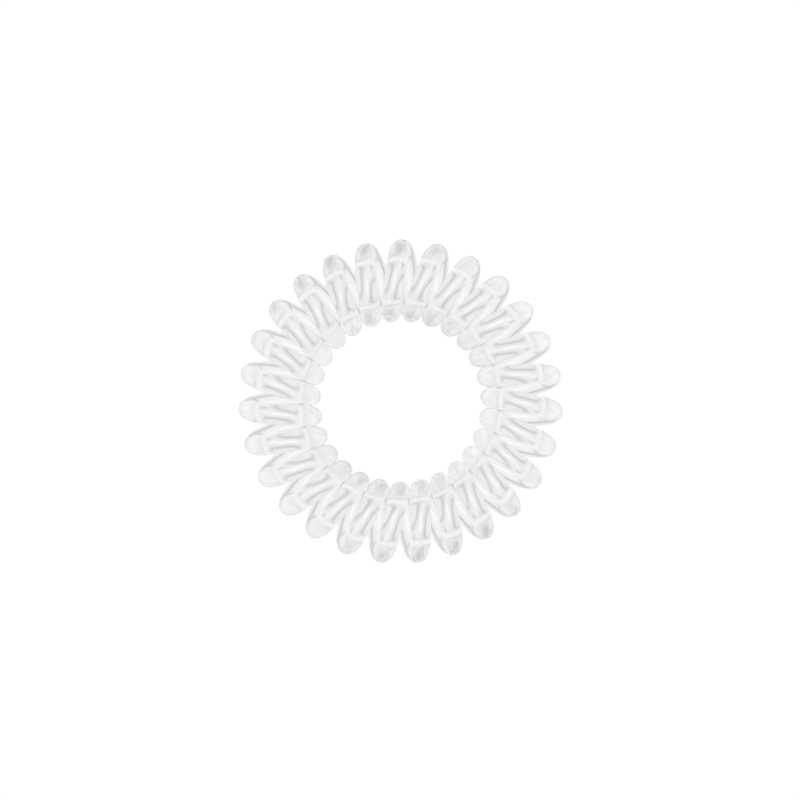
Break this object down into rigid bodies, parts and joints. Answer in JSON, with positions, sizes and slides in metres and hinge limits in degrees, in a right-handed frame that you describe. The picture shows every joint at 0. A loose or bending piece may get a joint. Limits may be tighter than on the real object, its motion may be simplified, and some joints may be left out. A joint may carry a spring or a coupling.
{
  "type": "spiral hair tie",
  "caption": "Clear spiral hair tie: one thick plastic cord wound into an open, slightly flattened coil and closed into a ring, lying flat.",
  "frame": {"origin": "middle of the ring, on the plane that it lies on", "axes": "+Z along the ring's axis, up from the plane it lies on; +Y towards the top of the picture, +X towards its right"},
  "size_m": [0.04, 0.0399, 0.0087],
  "materials": {
    "clear_tpu": "clear, glossy, smooth"
  },
  "bodies": {
    "root": {"coil": "clear_tpu"}
  },
  "joints": []
}
